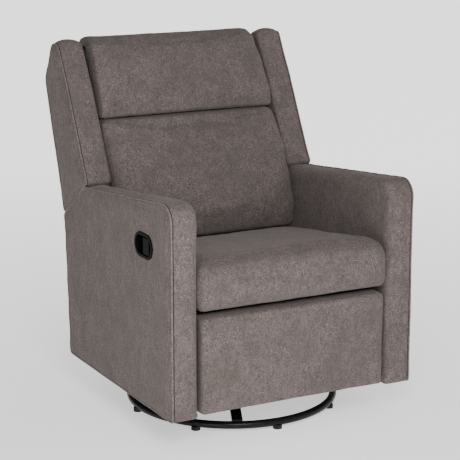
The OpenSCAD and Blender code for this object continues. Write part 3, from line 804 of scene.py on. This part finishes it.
def make_back_sides(wing):
    """The cloth round the back board's side edges, filled out to the back panel at the top, in fabric
    darkened as painted shade.
    """
    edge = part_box("back_frame")[1].x
    outline = resample(above(section("back_frame", 0.25), 0.490), FINE_STEP)
    rear = -inward(outline)[:, 0] > FACING
    fill = np.interp(outline[:, 1], *front_line("back_panel", 0.0, FINE_STEP)) - 0.003 - outline[:, 0]
    outline[:, 0] += np.where(rear, fill * fade(outline[:, 1], 0.86, 0.93), 0)
    outline = relax(resample(outline, FINE_STEP), 0.002, FINE_STEP)
    outline = outline - inward(outline) * 0.0012
    thin = 0.005
    obj = loft("left_back_side", outline, (edge - 0.012, edge + thin), 0.001, SHADED, 3)
    remesh(obj, EDGE_VOXEL)
    co = coords(obj)
    thick = thin + (wing.inner_x(co[:, 2]) - 0.001 - edge - thin) * fade(co[:, 2], 0.74, 0.80)
    share = np.clip((co[:, 0] - edge) / thin, 0, 1)
    co[:, 0] = np.where(co[:, 0] > edge, edge + share * thick, co[:, 0])
    set_coords(obj, co)
    smooth_shade(obj)
    for piece in (obj, mirrored(obj, "right_back_side")):
        settle(piece, "back")


def make_back_panel(wing):
    """The upholstered outside of the back, lightly crowned, with its tongue behind the seat."""
    low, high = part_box("back_panel")
    tongue = float(np.max(np.abs([v.co.x for v in NODES["back_panel"].data.vertices if v.co.z < 0.30])))
    outline = relax(resample(section("back_panel", 0.0), FINE_STEP), 0.003, FINE_STEP)
    radii = end_radius(outline, 0.005, 0.003, (1.0, 0.0))
    obj = loft("back_panel_cover", outline, (low.x, high.x), radii, FABRIC, 4)
    remesh(obj, FINE_VOXEL)
    co = coords(obj)
    wide = np.minimum(high.x, wing.inner_x(co[:, 2]) - 0.0005)
    half = tongue + (wide - tongue) * fade(co[:, 2], 0.316, 0.328)
    co[:, 0] *= half / high.x
    set_coords(obj, co)
    out = normals(obj)
    inflate(obj, 1.0 * (out[:, 1] < FACING), cap=0.004)
    wrinkle(obj, 0.0010, 7.0, 6, where=1.0 * (out[:, 1] > FACING))
    smooth_shade(obj)
    settle(obj, "back", replaces=["back_panel"])


def make_rear_skirt():
    """The padded board that closes the chair low down behind."""
    low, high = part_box("rear_skirt")
    outline = relax(resample(side_of_box(low, high), 0.002), 0.004, 0.002)
    obj = loft("rear_skirt_cover", outline, (low.x + 0.0008, high.x - 0.0008), 0.003, FABRIC, 4)
    remesh(obj, THIN_VOXEL)
    out = normals(obj)
    inflate(obj, 1.0 * (out[:, 1] < FACING), cap=0.003)
    smooth_shade(obj)
    settle(obj, "chair", replaces=["rear_skirt"])


def make_cable():
    """The release cable, which crosses from the chair to the sliding seat, as a smooth-shaded copy of its
    CAD node.
    """
    source = NODES["release_cable"]
    obj = add_object("release_cable_jacket", source.data.copy(), CAD_FINISH["black_plastic"])
    obj.matrix_world = source.matrix_world.copy()
    smooth_shade(obj)
    obj.data.transform(obj.matrix_world)
    obj.matrix_world.identity()
    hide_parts("release_cable")
    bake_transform(obj)


# ---- floor and light ----


FLOOR_REACH = 150


def make_stage():
    """A wide pale floor that glows as painted light, brighter towards the back of the studio."""
    mesh = bpy.data.meshes.new("floor")
    corners = [(x * FLOOR_REACH, y * FLOOR_REACH, 0) for x, y in ((-1, -1), (1, -1), (1, 1), (-1, 1))]
    mesh.from_pydata(corners, [], [(0, 1, 2, 3)])
    s = Shader("floor")
    s.set(Base_Color=rgb(0.86, 0.86, 0.86), Roughness=0.6)
    ahead = {0: s.place(), 1: (0.47, 0.88, 0.0)}
    away = s.node("ShaderNodeVectorMath", ahead, operation="DOT_PRODUCT").outputs["Value"]
    # painted light: the floor's own glow, rising towards the back, also lights the chair from below
    s.set(Emission_Color=rgb(1.0, 1.0, 1.0), Emission_Strength=s.spread(away, -1.5, 3.5, 0.48, 1.60))
    add_object("floor", mesh, s.material)


def make_world():
    """Soft studio surroundings, brightest ahead of the chair and above it."""
    world = bpy.data.worlds.new("studio")
    world.use_nodes = True
    nodes, links = world.node_tree.nodes, world.node_tree.links
    where = nodes.new("ShaderNodeTexCoord")
    along = nodes.new("ShaderNodeVectorMath")
    along.operation = "DOT_PRODUCT"
    along.inputs[1].default_value = (0.25, -0.87, 0.43)
    spread = nodes.new("ShaderNodeMapRange")
    for key, value in (("From Min", -0.7), ("From Max", 0.9), ("To Min", 0.05), ("To Max", 0.78)):
        spread.inputs[key].default_value = value
    links.new(where.outputs["Generated"], along.inputs[0])
    links.new(along.outputs["Value"], spread.inputs["Value"])
    links.new(spread.outputs["Result"], nodes["Background"].inputs["Strength"])
    nodes["Background"].inputs["Color"].default_value = rgb(1.0, 1.0, 0.97)
    bpy.context.scene.world = world


def area_light(name, place, target, size, power):
    data = bpy.data.lights.new(name, "AREA")
    data.shape, data.size, data.energy = "DISK", size, power
    light = bpy.data.objects.new(name, data)
    light.location = place
    light.rotation_euler = (Vector(target) - Vector(place)).to_track_quat("-Z", "Y").to_euler()
    bpy.context.scene.collection.objects.link(light)


def make_lights():
    area_light("key", (-0.8, -2.2, 1.5), (0, 0, 0.6), 1.0, 46)
    area_light("side", (-1.3, -1.3, 0.3), (-0.37, -0.3, 0.3), 0.5, 5)


make_camera()
finish_cad_nodes()
wing = Wing()
make_seat()
make_rail_wrap()
make_back_cushions(wing)
make_footrest()
make_arms()
make_wings(wing)
make_back_sides(wing)
make_back_panel(wing)
make_rear_skirt()
make_cable()
make_stage()
make_world()
make_lights()
